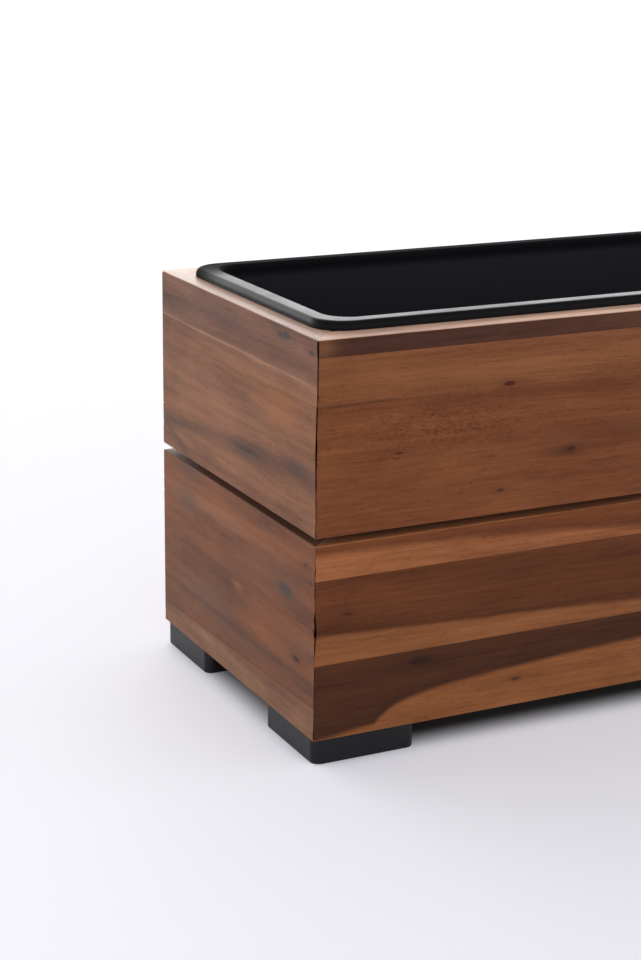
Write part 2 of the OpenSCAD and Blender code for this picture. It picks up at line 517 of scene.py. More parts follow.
@dataclass(frozen=True)
class Timber:
    """Oiled, laminated hardwood for one side board.

    The noises are measured along the grain, up the board and into it.
    """

    figure: Figure
    grain: Grain
    start: float
    foot: float
    top: float
    crest_shine: float = 0.35
    crest_depth: tuple[float, float] = (0.9, 0.2)
    roughness: float = 0.5
    gloss: float = 0.15
    coat_roughness: float = 0.25
    bloom: float = 0.12
    bloom_colour: str = "ffe6d6"
    bloom_roughness: float = 0.35
    sway: Weave = Weave((240.0, 70.0, 60.0))
    wave: Weave = Weave((38.0, 16.0, 40.0))
    drift: Weave = Weave((210.0, 13.0, 30.0), 3.0, 0.55)
    cloud: Weave = Weave((60.0, 24.0, 40.0), 3.0, 0.6)
    fibre: Weave = Weave((90.0, 3.0, 4.0), 4.0, 0.7)
    fine: Weave = Weave((24.0, 1.2, 1.6), 2.0, 0.6)
    pores: Weave = Weave((6.0, 0.9, 0.8), 1.0)
    pore_edges: tuple[float, float] = (0.13, 0.25)
    curl: Weave = Weave((3.4, 1.6, 2.0), 2.0, 0.7)
    least_curl: float = 0.35
    channel_powers: tuple[float, float, float] = (0.9, 1.1, 1.3)
    relief: float = 0.00012

    def finish(self, name: str) -> bpy.types.Material:
        """Makes the board's material.

        Args:
            name: The material's name.

        Returns:
            The material.
        """
        made = Finish(name, roughness=self.roughness, ior=1.45, specular_ior_level=self.gloss,
                      sheen_weight=self.bloom, sheen_roughness=self.bloom_roughness,
                      sheen_tint=linear(self.bloom_colour), coat_roughness=self.coat_roughness)
        x, y, height = made.position()
        g, depth = (x, y) if self.grain is Grain.LENGTH else (y, x)
        g = g - self.start
        z = height - self.foot
        # Where the top face is: painted light goes on its colour there, and the coat goes on it.
        painted_light_crest = z.ramp(*(self.top - below for below in self.crest_depth))
        seed = self.figure.seed
        shift = self._stave_shift(z) + seed
        sway = self.sway.over(made, (g, z, depth), (shift, 0.0, seed))
        wave = self.wave.over(made, (g, z, depth), (shift, seed, 0.0))
        flowing = z + sway * 5.0 + wave * 1.8
        for knot in self.figure.knots:
            flowing = flowing + knot.bulge(g, z)
        place = (g, flowing, depth)
        drift = self.drift.over(made, place, (shift, 0.0, shift))
        cloud = self.cloud.over(made, place, (shift, 0.0, seed))
        fibre = self.fibre.over(made, place, (shift, 0.0, shift))
        fine = self.fine.over(made, place, (shift, 0.0, 0.0))
        pores = self.pores.over(made, place, (shift, 0.0, 0.0)).ramp(*self.pore_edges)
        curl = self.curl.over(made, place, (shift, 0.0, 0.0))
        curly = self.least_curl
        for patch in self.figure.curls:
            curly = patch.mask(g, z) + curly
        broad = (drift * 0.8 + cloud * 0.6) * self.figure.contrast
        tone = (1.0 + broad + fibre * 0.8 + fine * 0.6 + curl * curly * 0.8
                - pores * 0.24).at_least(0.1)
        channels = made.point(*(tone.math("POWER", power) for power in self.channel_powers))
        colour = made.tint(self._staves(made, g, z + sway * 2.2 + wave * 0.9, z), channels)
        uneven = (0.75 + fibre * 1.5 + drift * 0.8).clamped()
        for mark in self.figure.marks:
            strength = mark.mask(g, z + wave * 2.0) * uneven
            colour = made.blend(colour, linear(mark.colour), strength)
        for knot in self.figure.knots:
            colour = knot.paint(made, colour, g, z + wave * knot.size * 0.5, fine * 0.7)
        # Painted light: the top face's own colour, with grain, is lighter or darker for how that
        # face is lit.
        top_face_painted_light = made.darken(linear(self.figure.top_face_painted_light), 1.0 + fibre * 1.3 + drift + fine * 0.6)
        made.set("Base Color", made.blend(colour, top_face_painted_light, painted_light_crest))
        made.set("Roughness", self.roughness + fibre * 0.10 + pores * 0.12)
        made.set("Coat Weight", painted_light_crest * self.crest_shine)
        made.bump(fibre * 0.5 + fine * 0.6 - pores * 0.9, self.relief, 0.55)
        return made.material

    def _stave_shift(self, z: Flow) -> Value:
        """Makes a number that jumps from stave to stave, so that no two share a grain.

        Args:
            z: Height on the board.

        Returns:
            The number.
        """
        total = 0.0
        for place, stave in enumerate(self.figure.staves[1:], 1):
            total = total + z.math("GREATER_THAN", stave.bottom) * (3.7 + place * 1.3)
        return total

    def _staves(self, made: Finish, g: Flow, wavy_z: Flow, z: Flow) -> Flow:
        """Gives each stave its plain colour and its heartwood.

        Args:
            made: The material.
            g: Distance along the board.
            wavy_z: Height on the board, as the heart lines wander.
            z: True height on the board, for the straight glue lines.

        Returns:
            The colour.
        """
        colour = None
        for stave in self.figure.staves:
            own = linear(stave.light)
            if stave.heart:
                inside, near = stave.heart.mask(g, wavy_z)
                dark = made.darken(linear(stave.dark), 1.0 - near * 0.22)
                own = made.blend(own, dark, inside)
            colour = made.blend(colour, own, z.math("GREATER_THAN", stave.bottom)) if colour else own
        return colour


@dataclass(frozen=True)
class BareWood:
    """Planed, unfinished softwood for the framing inside."""

    grain: Grain
    seed: float
    light: str = "b89a72"
    dark: str = "8c6a45"
    roughness: float = 0.72
    sway: Weave = Weave((120.0, 30.0, 30.0))
    rings: Weave = Weave((160.0, 3.0, 3.0), 4.0, 0.6)
    fine: Weave = Weave((14.0, 0.6, 0.6), 3.0, 0.6)
    relief: float = 0.0002

    def finish(self, name: str) -> bpy.types.Material:
        """Makes the material.

        Args:
            name: The material's name.

        Returns:
            The material.
        """
        made = Finish(name, roughness=self.roughness, ior=1.45)
        place = self.grain.ordered(made.position())
        sway = self.sway.over(made, place, (0.0, self.seed, 0.0))
        rings = self.rings.over(made, place, (self.seed, sway * 2.0, 0.0))
        fine = self.fine.over(made, place, (0.0, self.seed, 0.0))
        amount = (0.5 + rings * 1.7 + fine * 0.5).clamped()
        made.set("Base Color", made.blend(linear(self.light), linear(self.dark), amount))
        made.set("Roughness", self.roughness + fine * 0.12)
        made.bump(rings * 0.6 + fine, self.relief, 0.6)
        return made.material


@dataclass(frozen=True)
class Cavity:
    """The space inside a trough whose walls lean in downwards, in millimetres, where light is
    painted on the trough's colour.
    """

    half: Vector
    corner: float
    lean: float
    bottom: float
    top: float

    def mask(self, x: Flow, y: Flow, z: Flow) -> Flow:
        """Finds the cavity in a material.

        Args:
            x: Place along the trough, from its middle.
            y: Place across it, from its middle.
            z: Height.

        Returns:
            1 at places in the cavity or on its faces, and 0 outside it and on the rim.
        """
        inset = (self.top - z) * self.lean
        inward = self.corner - beyond(x, y, self.half.x - self.corner - inset,
                                      self.half.y - self.corner - inset)
        within = inward.math("MINIMUM", z - self.bottom).ramp(-1.2, -0.8)
        return within * (1.0 - z.ramp(self.top - 12.0, self.top - 5.0))


@dataclass(frozen=True)
class Moulded:
    """Black moulded plastic with a fine spark texture and some dust, and painted light inside a
    cavity.
    """

    colour: str = "0f0f13"
    dusty: str = "2a2b30"
    roughness: float = 0.36
    gloss: float = 0.3
    grain: float = 0.35
    relief: float = 0.00004
    dust: float = 0.25
    cloud: Weave = Weave.even(45.0, 4.0, 0.6)
    speck: Weave = Weave.even(1.6)
    dull_from: float = 0.0
    dull_over: float = 60.0
    dulling: float = 0.0
    cavity_painted_light: str = "2b2b33"
    cavity: Cavity | None = None

    def finish(self, name: str) -> bpy.types.Material:
        """Makes the material.

        Args:
            name: The material's name.

        Returns:
            The material.
        """
        made = Finish(name, roughness=self.roughness, ior=1.5, specular_ior_level=self.gloss)
        place = made.position()
        spark = Weave.even(self.grain).over(made, place)
        cloud = self.cloud.over(made, place)
        speck = self.speck.over(made, place).ramp(0.17, 0.3)
        amount = (cloud.ramp(-0.1, 0.35) * self.dust + speck * self.dust * 0.8).clamped()
        plain = linear(self.colour)
        # Painted light: the faces inside the cavity take a lighter colour, standing in for light
        # that falls into it.
        if self.cavity:
            plain = made.blend(plain, linear(self.cavity_painted_light), self.cavity.mask(*place))
        made.set("Base Color", made.blend(plain, linear(self.dusty), amount))
        roughness = self.roughness + cloud * 0.16 + amount * 0.25
        if self.dulling:
            dull = place[1].ramp(self.dull_from, self.dull_from + self.dull_over)
            roughness = roughness + dull * self.dulling
        made.set("Roughness", roughness)
        made.bump(spark + cloud * 0.3, self.relief, 0.7)
        return made.material


@dataclass(frozen=True)
class Zinc:
    """Zinc-plated steel for the screws."""

    colour: str = "b9bcc2"
    roughness: float = 0.34
    cloud: Weave = Weave.even(2.5, 3.0, 0.6)
    relief: float = 0.00003

    def finish(self, name: str) -> bpy.types.Material:
        """Makes the material.

        Args:
            name: The material's name.

        Returns:
            The material.
        """
        made = Finish(name, metallic=1.0, roughness=self.roughness)
        cloud = self.cloud.over(made, made.position())
        made.set("Base Color", made.darken(linear(self.colour), 0.92 + cloud * 0.5))
        made.set("Roughness", self.roughness + cloud * 0.25)
        made.bump(cloud, self.relief, 0.5)
        return made.material


# ---------------------------------------------------------------------------------------------
# Working a piece in edit mode
# ---------------------------------------------------------------------------------------------


class Blank:
    """A piece while it is being shaped, from a primitive on."""

    def __init__(self, name: str) -> None:
        """Takes over the primitive that was just added.

        Args:
            name: Its new name.
        """
        self.piece = bpy.context.object
        self.piece.name = name
        self.piece.data.name = name
        bpy.ops.object.transform_apply(location=True, rotation=True, scale=True)

    @classmethod
    def block(cls, name: str, low: Vector, high: Vector) -> "Blank":
        """Starts from a cube between two corners.

        Args:
            name: The piece's name.
            low: Lowest corner.
            high: Highest corner.

        Returns:
            The blank.
        """
        rest_tools()
        bpy.ops.mesh.primitive_cube_add(size=1.0, location=(low + high) / 2, scale=high - low)
        return cls(name)

    @classmethod
    def rod(cls, name: str, foot: Vector, radius: float, height: float, sides: int) -> "Blank":
        """Starts from an upright cylinder.

        Args:
            name: The piece's name.
            foot: Centre of its lower end.
            radius: Its radius.
            height: Its height.
            sides: How many sides it has.

        Returns:
            The blank.
        """
        rest_tools()
        middle = foot + Vector((0.0, 0.0, height / 2))
        bpy.ops.mesh.primitive_cylinder_add(vertices=sides, radius=radius, depth=height,
                                            location=middle)
        return cls(name)

    def _pick(self, mode: str, test: Callable[..., bool]) -> "Blank":
        """Enters edit mode and selects elements.

        Args:
            mode: VERT, EDGE or FACE.
            test: What such an element has to pass.

        Returns:
            This blank.
        """
        bpy.context.view_layer.objects.active = self.piece
        if self.piece.mode != "EDIT":
            bpy.ops.object.mode_set(mode="EDIT")
        bpy.ops.mesh.select_mode(type=mode)
        bpy.ops.mesh.select_all(action="DESELECT")
        mesh = bmesh.from_edit_mesh(self.piece.data)
        pool = {"VERT": mesh.verts, "EDGE": mesh.edges, "FACE": mesh.faces}[mode]
        for element in [e for e in pool if test(e)]:
            element.select_set(True)
        mesh.select_flush_mode()
        bmesh.update_edit_mesh(self.piece.data)
        return self

    def edges(self, test: Callable[[Vector, Vector], bool], fold: float = 0.0) -> "Blank":
        """Selects edges.

        Args:
            test: What an edge's middle and unit direction have to pass.
            fold: Least angle between its two faces, in degrees.

        Returns:
            This blank.
        """
        least = math.radians(fold)
        return self._pick("EDGE", lambda e: e.calc_face_angle(math.pi) >= least and test(
            (e.verts[0].co + e.verts[1].co) / 2, (e.verts[1].co - e.verts[0].co).normalized()))

    def faces(self, test: Callable[[Vector, Vector], bool]) -> "Blank":
        """Selects the faces whose centre and normal pass the test."""
        return self._pick("FACE", lambda f: test(f.calc_center_median(), f.normal))

    def verts(self, test: Callable[[Vector], bool]) -> "Blank":
        """Selects the vertices whose place passes the test."""
        return self._pick("VERT", lambda v: test(v.co))

    def open_edges(self) -> "Blank":
        """Selects the edges that have a face on one side only."""
        return self._pick("EDGE", lambda e: e.is_boundary)

    def open_verts(self, test: Callable[[Vector], bool]) -> "Blank":
        """Selects the vertices of open edges whose place passes the test."""
        return self._pick("VERT", lambda v: v.is_boundary and test(v.co))

    def bevel(self, width: float, segments: int = 3) -> "Blank":
        """Rounds the selected edges."""
        bpy.ops.mesh.bevel(offset=width, segments=segments, profile=0.5, affect="EDGES",
                           clamp_overlap=True)
        return self

    def bisect(self, through: Vector, off: Vector) -> "Blank":
        """Saws the piece off past a plane and closes the cut.

        Args:
            through: A point on the plane.
            off: The plane's normal, towards what is sawn off.

        Returns:
            This blank.
        """
        self.faces(lambda centre, normal: True)
        bpy.ops.mesh.bisect(plane_co=through, plane_no=off, use_fill=True, clear_outer=True)
        return self

    def resize(self, x: float, y: float, z: float, centre: Vector) -> "Blank":
        """Scales the selection about a point."""
        bpy.ops.transform.resize(value=(x, y, z), center_override=centre)
        return self

    def extrude(self, z: float = 0.0) -> "Blank":
        """Extrudes the selected faces or edges, and moves what is new up or down."""
        bpy.ops.mesh.extrude_region_move(TRANSFORM_OT_translate={"value": (0.0, 0.0, z)})
        return self

    def subdivide(self, cuts: int) -> "Blank":
        """Subdivides the selection."""
        bpy.ops.mesh.subdivide(number_cuts=cuts)
        return self

    def delete(self) -> "Blank":
        """Deletes the selected faces."""
        bpy.ops.mesh.delete(type="FACE")
        return self

    def flip(self) -> "Blank":
        """Turns the selected faces over."""
        bpy.ops.mesh.flip_normals()
        return self

    def file(self, test: Callable[[Vector], bool], bite: Callable[[Vector], Vector]) -> "Blank":
        """Moves single vertices, as a file or a chisel would.

        Args:
            test: Which places are worked.
            bite: How far such a place moves.

        Returns:
            This blank.
        """
        rest_tools()
        for vertex in self.piece.data.vertices:
            if test(vertex.co):
                vertex.co += bite(vertex.co.copy())
        return self

    def modify(self, kind: str, **settings: object) -> "Blank":
        """Adds a modifier and applies it.

        Args:
            kind: The modifier's type.
            settings: Its properties.

        Returns:
            This blank.
        """
        rest_tools()
        bpy.context.view_layer.objects.active = self.piece
        modifier = self.piece.modifiers.new(kind.title(), kind)
        for key, value in settings.items():
            setattr(modifier, key, value)
        bpy.ops.object.modifier_apply(modifier=modifier.name)
        return self

    def carve(self, tool: "Blank | None") -> "Blank":
        """Cuts another blank's shape out of this one and puts that blank away.

        Args:
            tool: The other blank, or None if there is nothing to cut.

        Returns:
            This blank.
        """
        if tool:
            self.modify("BOOLEAN", operation="DIFFERENCE", object=tool.piece, solver="EXACT")
            bpy.data.objects.remove(tool.piece)
        return self

    def copies(self, name: str, places: Sequence[Matrix]) -> "Blank | None":
        """Sets one copy at each place, joins them, and puts the pattern piece away.

        Args:
            name: The name of what is joined.
            places: Where the copies go.

        Returns:
            The joined blank, or None if there is no place.
        """
        rest_tools()
        made = []
        for place in places:
            copy = self.piece.copy()
            copy.data = self.piece.data.copy()
            copy.data.transform(place)
            bpy.context.scene.collection.objects.link(copy)
            copy.select_set(True)
            made.append(copy)
        bpy.data.objects.remove(self.piece)
        if not made:
            return None
        bpy.context.view_layer.objects.active = made[0]
        if len(made) > 1:
            bpy.ops.object.join()
        return Blank(name)

    def smooth(self, angle: float = 38.0) -> "Blank":
        """Shades the piece smooth and keeps its flats flat.

        Args:
            angle: The sharpest fold that is smoothed over, in degrees.

        Returns:
            This blank.
        """
        rest_tools()
        self.piece.select_set(True)
        bpy.context.view_layer.objects.active = self.piece
        bpy.ops.object.shade_smooth_by_angle(angle=math.radians(angle))
        return self.modify("WEIGHTED_NORMAL", mode="FACE_AREA", weight=90, keep_sharp=True)

    def done(self, body: str, slot: str, material: bpy.types.Material, node: str) -> None:
        """Dresses the finished piece and hangs it on its body.

        Args:
            body: The CAD body that it rides on.
            slot: The record's material slot; not used.
            material: Its material.
            node: The CAD node that it stands for.
        """
        rest_tools()
        self.piece.data.materials.clear()
        self.piece.data.materials.append(material)
        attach(self.piece, body)
        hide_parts(node)
        LOG.info("%s: %d faces on %s", self.piece.name, len(self.piece.data.polygons), body)


def rest_tools() -> None:
    """Leaves edit mode, if it is on, and deselects everything."""
    if bpy.context.object and bpy.context.object.mode == "EDIT":
        bpy.ops.object.mode_set(mode="OBJECT")
    bpy.ops.object.select_all(action="DESELECT")


# ---------------------------------------------------------------------------------------------
# Side boards
# ---------------------------------------------------------------------------------------------


class Side(Enum):
    """A side of the box, by the way it faces."""

    FRONT = (0.0, -1.0)
    REAR = (0.0, 1.0)
    LEFT = (-1.0, 0.0)
    RIGHT = (1.0, 0.0)

    @property
    def outward(self) -> Vector:
        """The way the side faces."""
        return Vector((*self.value, 0.0))

    @property
    def grain(self) -> Grain:
        """The way its boards run."""
        return Grain.LENGTH if self.value[0] == 0 else Grain.WIDTH


@dataclass
class SideBoard:
    """One mitred side board with eased edges and small chips along its mitres."""

    node: str
    side: Side
    figure: Figure
    datum: float
    ease: float = 0.0009
    nibbles: int = 180
    joint: float = 0.00008
    chip: float = 0.0055
    chips_per_metre: float = 640.0
    patches_per_metre: float = 37.0
    rugged: tuple[tuple[float, float], ...] = ((0.070, 0.130), (0.139, 0.226))
    worn: float = 0.0022

    def build(self) -> None:
        """Saws the board to its mitres, eases its edges and dresses it."""
        low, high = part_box(self.node)
        outward, along = self.side.outward, self.side.grain.axis
        half = (high - low) / 2
        face = (low + high) / 2 + Vector((half.x * outward.x, half.y * outward.y, 0.0))
        blank = Blank.block(self.node + "_timber", low, high)
        ends = [(sign, face + along * (sign * half.dot(along))) for sign in (-1, 1)]
        for sign, corner in ends:
            blank.bisect(corner, along * sign - outward)
        blank.edges(lambda mid, way: abs(way.dot(along)) > 0.9).bevel(self.ease)
        for sign, corner in ends:
            self._nibble(blank, corner, along * -sign)
        timber = Timber(self.figure, self.side.grain, low.dot(along) / MM, self.datum / MM,
                        (high.z - self.datum) / MM)
        if self.node.endswith("lower"):
            # The top of a lower board lies in the gap, where nothing polishes it.
            timber = replace(timber, crest_shine=0.0)
        blank.done(BOX, "boards", timber.finish(self.node + "_oiled"), self.node)

    def _nibble(self, blank: Blank, corner: Vector, inward: Vector) -> None:
        """Roughens the sharp edge of a mitre with a fine joint and a few chips.

        Args:
            blank: The board.
            corner: Where the edge stands, at any height.
            inward: The way from that end of the board to its middle.
        """
        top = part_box("board_front_upper")[1].z
        seed = corner.x * 31.0 + corner.y * 17.0 + inward.x * 5.0 + inward.y * 3.0

        def on_edge(place: Vector) -> bool:
            """Tells whether a place is on the edge."""
            return (place.xy - corner.xy).length < TINY

        def bite(place: Vector) -> Vector:
            """Works out how far the edge is eaten in.

            Args:
                place: A place on the edge.

            Returns:
                How it moves.
            """
            rough = noise.noise(Vector((place.z * self.chips_per_metre, seed, 1.7)))
            patch = noise.noise(Vector((place.z * self.patches_per_metre, seed, 5.1)))
            rugged = any(a < place.z - self.datum < b for a, b in self.rugged)
            eaten = self.chip * max(0.0, rough - 0.02) * max(0.04, patch + 0.35 * rugged)
            worn = self.worn * max(0.0, 1.0 - (top - place.z) / self.worn) ** 2
            return inward * (self.joint * (1.0 + rough) + eaten + worn)

        blank.edges(lambda mid, way: on_edge(mid) and abs(way.z) > 0.9)
        blank.subdivide(self.nibbles)
        blank.file(on_edge, bite)


# ---------------------------------------------------------------------------------------------
# Screws and the holes for them
# ---------------------------------------------------------------------------------------------


@dataclass(frozen=True)
class Spot:
    """Where a screw sits: the centre of its head, the way it points and its length."""

    head: Vector
    way: Vector
    length: float

    @property
    def place(self) -> Matrix:
        """What brings a screw from the origin, pointing up, to this spot."""
        turn = Vector((0.0, 0.0, 1.0)).rotation_difference(self.way).to_matrix().to_4x4()
        return Matrix.Translation(self.head) @ turn

    def inside(self, low: Vector, high: Vector) -> bool:
        """Tells whether the neck of the screw is in a box."""
        neck = self.head + self.way * (2 * MM)
        return all(a - TINY <= n <= b + TINY for a, n, b in zip(low, neck, high))


@dataclass(frozen=True)
class ScrewSize:
    """The one size of countersunk screw that the box is made with, and the seats for it."""

    head_radius: float = 0.0038
    neck_radius: float = 0.002
    head_height: float = 0.0024
    slack: float = 0.0001

    def seats(self, spots: Sequence[Spot], access: float) -> Blank | None:
        """Makes the tool that drills the seats of screws.

        Args:
            spots: The screws that need a seat.
            access: How far the bore runs back from their heads.

        Returns:
            One blank of all the seats, or None if there are none.
        """
        radius = self.head_radius + self.slack
        tool = Blank.rod("bore", Vector((0.0, 0.0, -access)), radius, access, 32)
        tool.faces(lambda c, n: n.z > 0.9).extrude(self.head_height)
        neck = (self.neck_radius + self.slack) / radius
        tool.resize(neck, neck, 1.0, Vector((0.0, 0.0, self.head_height)))
        return tool.copies("bore", [s.place for s in spots])


SCREW = ScrewSize()


@dataclass
class Screws:
    """All the screws of one CAD node: countersunk, cross recessed and threaded."""

    node: str
    land: float = 0.0003
    core: float = 0.74
    pitch: float = 0.0016
    point: float = 0.004
    tip: float = 0.06
    recess: Vector = field(default_factory=lambda: Vector((0.0044, 0.0009, 0.0016)))

    def spots(self) -> list[Spot]:
        """Finds each screw of the node.

        Returns:
            One spot for each separate solid.
        """
        mesh = bmesh.new()
        mesh.from_mesh(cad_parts[self.node].data)
        bmesh.ops.remove_doubles(mesh, verts=mesh.verts, dist=TINY)
        left, found = set(mesh.verts), []
        while left:
            group, edge = [], [left.pop()]
            while edge:
                vert = edge.pop()
                group.append(vert.co.copy())
                near = {e.other_vert(vert) for e in vert.link_edges} & left
                left -= near
                edge.extend(near)
            found.append(self._spot(group))
        mesh.free()
        return sorted(found, key=lambda s: tuple(round(c, 5) for c in s.head))

    def _spot(self, group: list[Vector]) -> Spot:
        """Works out where one screw sits.

        Args:
            group: The places of its vertices.

        Returns:
            Its spot. The head is at the end where it is widest.
        """
        low = Vector([min(v[i] for v in group) for i in range(3)])
        high = Vector([max(v[i] for v in group) for i in range(3)])
        middle, size = (low + high) / 2, high - low
        axis = max(range(3), key=lambda i: size[i])
        widest = max(group, key=lambda v: (v - middle).cross(unit(axis)).length)
        way = unit(axis) * -math.copysign(1.0, (widest - middle)[axis])
        return Spot(middle - way * size[axis] / 2, way, size[axis])

    def build(self) -> None:
        """Turns one screw, copies it to every spot and dresses them."""
        spots = self.spots()
        up = Vector((0.0, 0.0, 1.0))
        top = spots[0].length
        blank = Blank.rod("screw", Vector(), SCREW.head_radius, self.land, 20)

        def step(level: float, to: float, scale: float) -> None:
            """Draws the shank out to a new level and width."""
            blank.faces(lambda c, n: c.z > level - TINY and n.z > 0.9).extrude(to - level)
            blank.resize(scale, scale, 1.0, up * to)

        step(self.land, SCREW.head_height, SCREW.neck_radius / SCREW.head_radius)
        level = SCREW.head_height
        while level + 2 * self.pitch < top - self.point:
            step(level, level + self.pitch / 2, self.core)
            step(level + self.pitch / 2, level + self.pitch, 1 / self.core)
            level += self.pitch
        step(level, top - self.point, 1.0)
        step(top - self.point, top, self.tip)
        for turn in (0.0, math.pi / 2):
            blank.carve(self._driver(turn))
        joined = blank.smooth(30.0).copies(self.node + "_steel", [s.place for s in spots])
        joined.done(BOX, "screws", Zinc().finish(self.node + "_zinc"), self.node)

    def _driver(self, turn: float) -> Blank:
        """Makes one blade of the driver that leaves the cross recess.

        Args:
            turn: Its angle about the axis.

        Returns:
            The blade, narrower at its point.
        """
        half = self.recess / 2
        blade = Blank.block("blade", Vector((-half.x, -half.y, -half.z)),
                            Vector((half.x, half.y, self.recess.z)))
        blade.verts(lambda v: v.z > half.z)
        blade.resize(0.45, 0.7, 1.0, Vector((0.0, 0.0, self.recess.z)))
        return blade.copies("blade", [Matrix.Rotation(turn, 4, "Z")])


# ---------------------------------------------------------------------------------------------
# Inner framing
# ---------------------------------------------------------------------------------------------


@dataclass
class Stick:
    """One planed stick of the framing inside, drilled for its screws."""

    node: str
    grain: Grain
    corner: bool = False
    ease: float = 0.0008
    access: float = 0.002

    def build(self, spots: Sequence[Spot], seed: float) -> None:
        """Planes the stick, drills it and dresses it.

        Args:
            spots: All the screws of the box.
            seed: What sets its grain apart from that of the others.
        """
        low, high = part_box(self.node)
        blank = Blank.block(self.node + "_planed", low, high)
        if self.corner:
            middle = (low + high) / 2
            inward = Vector((-math.copysign(1.0, middle.x), -math.copysign(1.0, middle.y), 0.0))
            blank.bisect(middle, inward)
        blank.edges(lambda mid, way: True).bevel(self.ease, 2)
        seats = [s for s in spots if s.inside(low, high)]
        blank.carve(SCREW.seats(seats, self.access))
        wood = BareWood(self.grain, seed)
        blank.smooth().done(BOX, "inner_wood", wood.finish(self.node + "_bare"), self.node)


# ---------------------------------------------------------------------------------------------
# Feet and liner
# ---------------------------------------------------------------------------------------------


@dataclass
class Foot:
    """One moulded foot: unequal corner radii, softened edges and three screw wells."""

    node: str
    outer_radius: float = 0.007
    inner_radius: float = 0.006
    sole_edge: float = 0.0012
    top_edge: float = 0.0008

    def build(self, spots: Sequence[Spot]) -> None:
        """Moulds the foot, sinks its wells and dresses it.

        Args:
            spots: All the screws of the box.
        """
        low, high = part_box(self.node)
        middle = (low + high) / 2
        blank = Blank.block(self.node + "_moulding", low, high)

        def at_corner(mid: Vector) -> bool:
            """Tells whether an edge stands at the corner of the box."""
            return abs(mid.x) > abs(middle.x) and abs(mid.y) > abs(middle.y)

        blank.edges(lambda mid, way: abs(way.z) > 0.9 and at_corner(mid))
        blank.bevel(self.outer_radius, 8)
        blank.edges(lambda mid, way: abs(way.z) > 0.9 and not at_corner(mid), fold=60.0)
        blank.bevel(self.inner_radius, 10)
        blank.edges(lambda mid, way: mid.z < low.z + TINY).bevel(self.sole_edge)
        blank.edges(lambda mid, way: mid.z > high.z - TINY).bevel(self.top_edge)
        wells = [s for s in spots if s.way.z > 0.9 and s.inside(low, high)]
        blank.carve(SCREW.seats(wells, high.z))
        plastic = Moulded(roughness=0.42, gloss=0.25, grain=0.4, relief=0.00006, dust=0.2)
        blank.smooth().done(BOX, "feet", plastic.finish(self.node + "_plastic"), self.node)


@dataclass
class Liner:
    """The lift-out trough: leaning walls, a filleted floor with drain holes and a flat rim."""

    node: str = "liner"
    wall: float = 0.002
    rim: float = 0.015
    lip: float = 0.006
    lean: float = 0.008
    corner: float = 0.018
    rim_corner: float = 0.0216
    fillet: float = 0.008
    outer_edge: float = 0.0042
    inner_edge: float = 0.0040
    drain: float = 0.004
    drains_per_row: int = 4
    drain_row: float = 0.045

    def build(self) -> None:
        """Moulds the trough from the space inside it outwards, and dresses it."""
        low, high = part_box(self.node)
        inner = Vector((high.x - self.rim, high.y - self.rim, high.z))
        floor = low.z + self.wall
        blank = Blank.block("liner_trough", Vector((-inner.x, -inner.y, floor)), inner)
        blank.faces(lambda c, n: n.z > 0.9).delete()
        blank.verts(lambda v: v.z < floor + TINY)
        blank.resize((inner.x - self.lean) / inner.x, (inner.y - self.lean) / inner.y, 1.0,
                     Vector((0.0, 0.0, floor)))
        blank.edges(lambda mid, way: abs(way.z) > 0.9).bevel(self.corner, 8)
        blank.edges(lambda mid, way: mid.z < floor + TINY).bevel(self.fillet, 5)
        blank.open_edges().extrude()
        self._spread_rim(blank, inner, high)
        blank.open_edges().extrude(-self.lip)

        def at_lip(mid: Vector) -> bool:
            """Tells whether an edge is on the outer half of the rim."""
            return max(abs(mid.x) - inner.x, abs(mid.y) - inner.y) > self.rim / 2

        blank.edges(lambda mid, way: mid.z > high.z - TINY and at_lip(mid), fold=50.0)
        blank.bevel(self.outer_edge, 5)
        blank.edges(lambda mid, way: mid.z > high.z - TINY and not at_lip(mid), fold=50.0)
        blank.bevel(self.inner_edge, 5)
        blank.faces(lambda c, n: True).flip()
        blank.modify("SOLIDIFY", thickness=self.wall, offset=-1.0, use_even_offset=True)
        blank.carve(self._drains(inner, low.z))
        # The cavity is where the trough's inside is painted lighter.
        cavity = Cavity(inner / MM, self.corner / MM, self.lean / (high.z - floor),
                        floor / MM, high.z / MM)
        plastic = Moulded(roughness=0.35, gloss=0.1, dust=0.12, dull_from=50.0, dulling=0.6,
                          cavity=cavity)
        blank.smooth().done(LINER, "liner", plastic.finish("liner_plastic"), self.node)

    def _spread_rim(self, blank: Blank, inner: Vector, high: Vector) -> None:
        """Draws the new rim out from the cavity to its outline, one corner after another.

        Args:
            blank: The trough, whose open edge is drawn out.
            inner: The cavity's farthest corner.
            high: The rim's farthest corner.
        """
        grow = self.rim_corner / self.corner
        for sx, sy in ((1, 1), (1, -1), (-1, 1), (-1, -1)):
            start = Vector((sx * (inner.x - self.corner), sy * (inner.y - self.corner), high.z))
            goal = Vector((sx * (high.x - self.rim_corner), sy * (high.y - self.rim_corner),
                           high.z))
            centre = (start * grow - goal) / (grow - 1.0)
            blank.open_verts(lambda place: place.x * sx > 0 and place.y * sy > 0)
            blank.resize(grow, grow, 1.0, centre)

    def _drains(self, inner: Vector, bottom: float) -> Blank | None:
        """Makes the tool that drills the drain holes.

        Args:
            inner: The cavity's farthest corner.
            bottom: The underside of the trough.

        Returns:
            One blank of all the drills.
        """
        half = inner.x + self.wall - self.lean
        step = 2 * half / self.drains_per_row
        foot = Vector((0.0, 0.0, bottom - self.wall))
        tool = Blank.rod("drill", foot, self.drain, 3 * self.wall, 32)
        return tool.copies("drill", [
            Matrix.Translation(((i + 0.5) * step - half, side * self.drain_row, 0.0))
            for side in (-1, 1) for i in range(self.drains_per_row)])


# ---------------------------------------------------------------------------------------------
# Studio
# ---------------------------------------------------------------------------------------------


